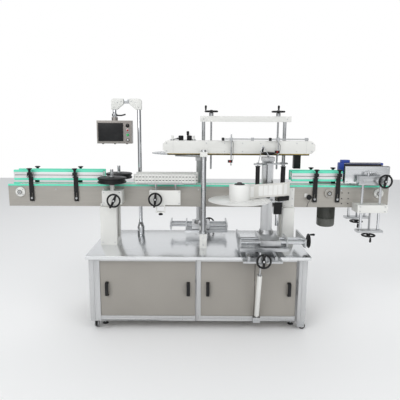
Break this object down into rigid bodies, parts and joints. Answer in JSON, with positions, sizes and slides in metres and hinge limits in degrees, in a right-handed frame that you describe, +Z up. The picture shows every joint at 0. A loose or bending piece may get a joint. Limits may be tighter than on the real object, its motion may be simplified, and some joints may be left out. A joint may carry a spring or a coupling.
{
  "type": "labelling machine",
  "caption": "Table-mounted labelling machine: slat conveyor, bottle separator, guide chains, overhead press belt, label heads on both sides and a wrap-round station on a panelled cabinet.",
  "frame": {"origin": "on the floor, under the middle of the whole machine's bounding box", "axes": "+X along the conveyor from inlet to outlet, +Y from the operator's side to the back, +Z up"},
  "size_m": [3, 1.284, 1.74],
  "materials": {
    "stainless": "brushed, slightly mirror-like",
    "steel": "machined",
    "chrome": "polished",
    "aluminium": "satin anodised",
    "panel_grey": "fine satin paint",
    "plate_grey": "fine satin paint",
    "light_paint": "satin paint",
    "dark_motor": "satin paint",
    "teal": "smooth low-friction plastic",
    "white_plastic": "moulded slats",
    "black_plastic": "moulded",
    "black_foam": "soft facing",
    "grey_plastic": "smooth sheet",
    "rubber": "soft tread",
    "belt": "ribbed belt",
    "box_grey": "satin paint",
    "paper": "smooth label web",
    "red": "glossy"
  },
  "bodies": {
    "machine": {"table_top": "stainless", "cabinet_frame": "aluminium", "cabinet_panels": "panel_grey", "conveyor_frame": "plate_grey", "wear_strips": "teal", "conveyor_chain": "white_plastic", "conveyor_motor": "dark_motor", "conveyor_stands": "light_paint", "rail_brackets": "black_plastic", "gantry_frame": "steel", "screen_post": "chrome", "front_head_base": "steel", "rear_head": "aluminium", "device_brackets": "light_paint"},
    "press": {"press_housing": "light_paint", "press_belt": "belt", "sensor_brackets": "steel"},
    "front_head": {"front_head": "steel", "label_web": "paper"},
    "wrap_lift": {"wrap_lift": "steel", "wrap_belt": "belt"},
    "front_panel_left": {"front_panel_left": "panel_grey"},
    "front_panel_right": {"front_panel_right": "panel_grey"},
    "caster_fork_front_left": {"caster_fork_front_left": "steel"},
    "caster_fork_front_right": {"caster_fork_front_right": "steel"},
    "caster_fork_rear_left": {"caster_fork_rear_left": "steel"},
    "caster_fork_rear_right": {"caster_fork_rear_right": "steel"},
    "caster_wheel_front_left": {"caster_wheel_front_left": "rubber"},
    "caster_wheel_front_right": {"caster_wheel_front_right": "rubber"},
    "caster_wheel_rear_left": {"caster_wheel_rear_left": "rubber"},
    "caster_wheel_rear_right": {"caster_wheel_rear_right": "rubber"},
    "inlet_shaft": {"inlet_shaft": "steel"},
    "outlet_shaft": {"outlet_shaft": "steel"},
    "drive_shaft": {"drive_shaft": "steel"},
    "guide_rail_front": {"guide_rail_front": "aluminium"},
    "guide_rail_rear": {"guide_rail_rear": "aluminium"},
    "separator_wheel_front": {"separator_wheel_front": "black_plastic"},
    "separator_wheel_rear": {"separator_wheel_rear": "black_plastic"},
    "separator_handwheel": {"separator_handwheel": "black_plastic"},
    "guide_chain_front": {"guide_chain_front": "white_plastic"},
    "guide_chain_rear": {"guide_chain_rear": "white_plastic"},
    "guide_chain_handwheel": {"guide_chain_handwheel": "black_plastic"},
    "lift_handwheel_left": {"lift_handwheel_left": "black_plastic"},
    "lift_handwheel_right": {"lift_handwheel_right": "black_plastic"},
    "control_box": {"control_box": "box_grey"},
    "main_switch": {"main_switch": "black_plastic"},
    "start_button": {"start_button": "red"},
    "front_saddle": {"front_saddle": "steel"},
    "front_carriage": {"front_carriage": "aluminium"},
    "front_reel": {"front_reel": "grey_plastic"},
    "feed_roller": {"feed_roller": "black_plastic"},
    "nip_roller": {"nip_roller": "black_plastic"},
    "handwheel_across": {"handwheel_across": "black_plastic"},
    "handwheel_along": {"handwheel_along": "black_plastic"},
    "handwheel_height": {"handwheel_height": "black_plastic"},
    "rear_reel": {"rear_reel": "grey_plastic"},
    "wrap_handwheel_front": {"wrap_handwheel_front": "black_plastic"},
    "wrap_pad": {"wrap_pad": "black_foam"},
    "wrap_handwheel_rear": {"wrap_handwheel_rear": "black_plastic"},
    "wrap_handwheel_across": {"wrap_handwheel_across": "black_plastic"}
  },
  "joints": [
    {"name": "swivel_front_left", "type": "hinge", "parent": "machine", "child": "caster_fork_front_left", "pos_m": [-0.77, -0.342, 0.06], "axis": [0, 0, 1], "continuous": true},
    {"name": "roll_front_left", "type": "hinge", "parent": "caster_fork_front_left", "child": "caster_wheel_front_left", "pos_m": [-0.77, -0.32, 0.025], "axis": [1, 0, 0], "continuous": true},
    {"name": "swivel_rear_left", "type": "hinge", "parent": "machine", "child": "caster_fork_rear_left", "pos_m": [-0.77, 0.342, 0.06], "axis": [0, 0, 1], "continuous": true},
    {"name": "roll_rear_left", "type": "hinge", "parent": "caster_fork_rear_left", "child": "caster_wheel_rear_left", "pos_m": [-0.77, 0.364, 0.025], "axis": [1, 0, 0], "continuous": true},
    {"name": "swivel_front_right", "type": "hinge", "parent": "machine", "child": "caster_fork_front_right", "pos_m": [0.77, -0.342, 0.06], "axis": [0, 0, 1], "continuous": true},
    {"name": "roll_front_right", "type": "hinge", "parent": "caster_fork_front_right", "child": "caster_wheel_front_right", "pos_m": [0.792, -0.342, 0.025], "axis": [0, 1, 0], "continuous": true},
    {"name": "swivel_rear_right", "type": "hinge", "parent": "machine", "child": "caster_fork_rear_right", "pos_m": [0.77, 0.342, 0.06], "axis": [0, 0, 1], "continuous": true},
    {"name": "roll_rear_right", "type": "hinge", "parent": "caster_fork_rear_right", "child": "caster_wheel_rear_right", "pos_m": [0.792, 0.342, 0.025], "axis": [0, 1, 0], "continuous": true},
    {"name": "panel_left_lift_off", "type": "slide", "parent": "machine", "child": "front_panel_left", "axis": [0, -1, 0], "range_m": [0, 0.25]},
    {"name": "panel_right_lift_off", "type": "slide", "parent": "machine", "child": "front_panel_right", "axis": [0, -1, 0], "range_m": [0, 0.25]},
    {"name": "drive_turn", "type": "hinge", "parent": "machine", "child": "drive_shaft", "pos_m": [1.03, 0, 1.004], "axis": [0, 1, 0], "continuous": true},
    {"name": "inlet_turn", "type": "hinge", "parent": "machine", "child": "inlet_shaft", "pos_m": [-1.405, 0, 1.004], "axis": [0, 1, 0], "continuous": true},
    {"name": "outlet_turn", "type": "hinge", "parent": "machine", "child": "outlet_shaft", "pos_m": [1.42, 0, 1.004], "axis": [0, 1, 0], "continuous": true},
    {"name": "rail_front_adjust", "type": "slide", "parent": "machine", "child": "guide_rail_front", "axis": [0, 1, 0], "range_m": [-0.002, 0.02]},
    {"name": "rail_rear_adjust", "type": "slide", "parent": "machine", "child": "guide_rail_rear", "axis": [0, 1, 0], "range_m": [-0.02, 0.002]},
    {"name": "separator_front_turn", "type": "hinge", "parent": "machine", "child": "separator_wheel_front", "pos_m": [-0.662, -0.152, 1.1], "axis": [0, 0, 1], "continuous": true},
    {"name": "separator_rear_turn", "type": "hinge", "parent": "machine", "child": "separator_wheel_rear", "pos_m": [-0.662, 0.152, 1.1], "axis": [0, 0, 1], "continuous": true},
    {"name": "separator_handwheel_turn", "type": "hinge", "parent": "machine", "child": "separator_handwheel", "pos_m": [-0.638, -0.236, 0.966], "axis": [0, 1, 0], "range_deg": [-900, 900]},
    {"name": "lane_front_adjust", "type": "slide", "parent": "machine", "child": "guide_chain_front", "axis": [0, 1, 0], "range_m": [-0.02, 0.008]},
    {"name": "lane_rear_adjust", "type": "slide", "parent": "machine", "child": "guide_chain_rear", "axis": [0, 1, 0], "range_m": [-0.008, 0.02]},
    {"name": "lane_handwheel_turn", "type": "hinge", "parent": "machine", "child": "guide_chain_handwheel", "pos_m": [-0.327, -0.222, 0.974], "axis": [0, 1, 0], "range_deg": [-2250, 900]},
    {"name": "press_lift", "type": "slide", "parent": "machine", "child": "press", "axis": [0, 0, 1], "range_m": [-0.04, 0.02]},
    {"name": "lift_left_turn", "type": "hinge", "parent": "machine", "child": "lift_handwheel_left", "pos_m": [0.098, 0.045, 1.636], "axis": [0, 0, 1], "range_deg": [-3780, 1980]},
    {"name": "lift_right_turn", "type": "hinge", "parent": "machine", "child": "lift_handwheel_right", "pos_m": [0.627, 0.045, 1.636], "axis": [0, 0, 1], "range_deg": [-3780, 1980]},
    {"name": "screen_swivel", "type": "hinge", "parent": "machine", "child": "control_box", "pos_m": [-0.697, 0.214, 1.577], "axis": [0, 0, 1], "range_deg": [-60, 60]},
    {"name": "main_switch_turn", "type": "hinge", "parent": "control_box", "child": "main_switch", "pos_m": [-0.586, 0.1717, 1.52164], "axis": [0, 1, 0], "range_deg": [0, 90]},
    {"name": "start_button_press", "type": "slide", "parent": "control_box", "child": "start_button", "axis": [0, 1, 0], "range_m": [0, 0.004], "stiffness_N_per_m": 300},
    {"name": "front_across", "type": "slide", "parent": "machine", "child": "front_saddle", "axis": [0, 1, 0], "range_m": [-0.1, 0.003]},
    {"name": "across_handwheel_turn", "type": "hinge", "parent": "machine", "child": "handwheel_across", "pos_m": [0.45, -0.596, 0.612], "axis": [0, 1, 0], "range_deg": [-9180, 540]},
    {"name": "front_along", "type": "slide", "parent": "front_saddle", "child": "front_carriage", "axis": [1, 0, 0], "range_m": [-0.055, 0.002]},
    {"name": "along_handwheel_turn", "type": "hinge", "parent": "front_saddle", "child": "handwheel_along", "pos_m": [0.828, -0.281, 0.676], "axis": [1, 0, 0], "range_deg": [-5130, 360]},
    {"name": "front_height", "type": "slide", "parent": "front_carriage", "child": "front_head", "axis": [0, 0, 1], "range_m": [-0.03, 0.05]},
    {"name": "height_handwheel_turn", "type": "hinge", "parent": "front_carriage", "child": "handwheel_height", "pos_m": [0.53, -0.118, 1.32], "axis": [0, 0, 1], "range_deg": [-2880, 4680]},
    {"name": "front_reel_turn", "type": "hinge", "parent": "front_head", "child": "front_reel", "pos_m": [0.298, -0.318, 0.99], "axis": [0, 0, 1], "continuous": true},
    {"name": "feed_roller_turn", "type": "hinge", "parent": "front_head", "child": "feed_roller", "pos_m": [0.439, -0.232, 1.1], "axis": [0, 0, 1], "continuous": true},
    {"name": "nip_roller_turn", "type": "hinge", "parent": "front_head", "child": "nip_roller", "pos_m": [0.648, -0.128, 1.1], "axis": [0, 0, 1], "continuous": true},
    {"name": "rear_reel_turn", "type": "hinge", "parent": "machine", "child": "rear_reel", "pos_m": [-0.172, 0.3, 1.3], "axis": [0, 0, 1], "continuous": true},
    {"name": "wrap_height", "type": "slide", "parent": "machine", "child": "wrap_lift", "axis": [0, 0, 1], "range_m": [-0.015, 0.08]},
    {"name": "wrap_front_handwheel_turn", "type": "hinge", "parent": "wrap_lift", "child": "wrap_handwheel_front", "pos_m": [1.331, -0.14, 0.686], "axis": [0, 0, 1], "range_deg": [-1530, 7380]},
    {"name": "wrap_rear_handwheel_turn", "type": "hinge", "parent": "wrap_lift", "child": "wrap_handwheel_rear", "pos_m": [1.331, 0.14, 0.736], "axis": [0, 0, 1], "range_deg": [-1530, 7380]},
    {"name": "wrap_pad_across", "type": "slide", "parent": "wrap_lift", "child": "wrap_pad", "axis": [0, 1, 0], "range_m": [-0.03, 0.01]},
    {"name": "wrap_across_handwheel_turn", "type": "hinge", "parent": "wrap_lift", "child": "wrap_handwheel_across", "pos_m": [1.408, -0.205, 1.117], "axis": [0, 1, 0], "range_deg": [-2880, 1080]}
  ],
  "couplings": [
    {"joint": "inlet_turn", "follows": "drive_turn", "ratio": 1},
    {"joint": "outlet_turn", "follows": "drive_turn", "ratio": 1},
    {"joint": "separator_rear_turn", "follows": "separator_front_turn", "ratio": -1},
    {"joint": "lane_rear_adjust", "follows": "lane_front_adjust", "ratio": -1},
    {"joint": "lane_handwheel_turn", "follows": "lane_front_adjust", "rad_per_m": 1570.8},
    {"joint": "lift_left_turn", "follows": "press_lift", "rad_per_m": 1570.8},
    {"joint": "lift_right_turn", "follows": "press_lift", "rad_per_m": 1570.8},
    {"joint": "across_handwheel_turn", "follows": "front_across", "rad_per_m": 1570.8},
    {"joint": "along_handwheel_turn", "follows": "front_along", "rad_per_m": 1570.8},
    {"joint": "height_handwheel_turn", "follows": "front_height", "rad_per_m": 1570.8},
    {"joint": "nip_roller_turn", "follows": "feed_roller_turn", "ratio": -0.90476},
    {"joint": "wrap_front_handwheel_turn", "follows": "wrap_height", "rad_per_m": 1570.8},
    {"joint": "wrap_rear_handwheel_turn", "follows": "wrap_height", "rad_per_m": 1570.8},
    {"joint": "wrap_across_handwheel_turn", "follows": "wrap_pad_across", "rad_per_m": 1570.8}
  ]
}
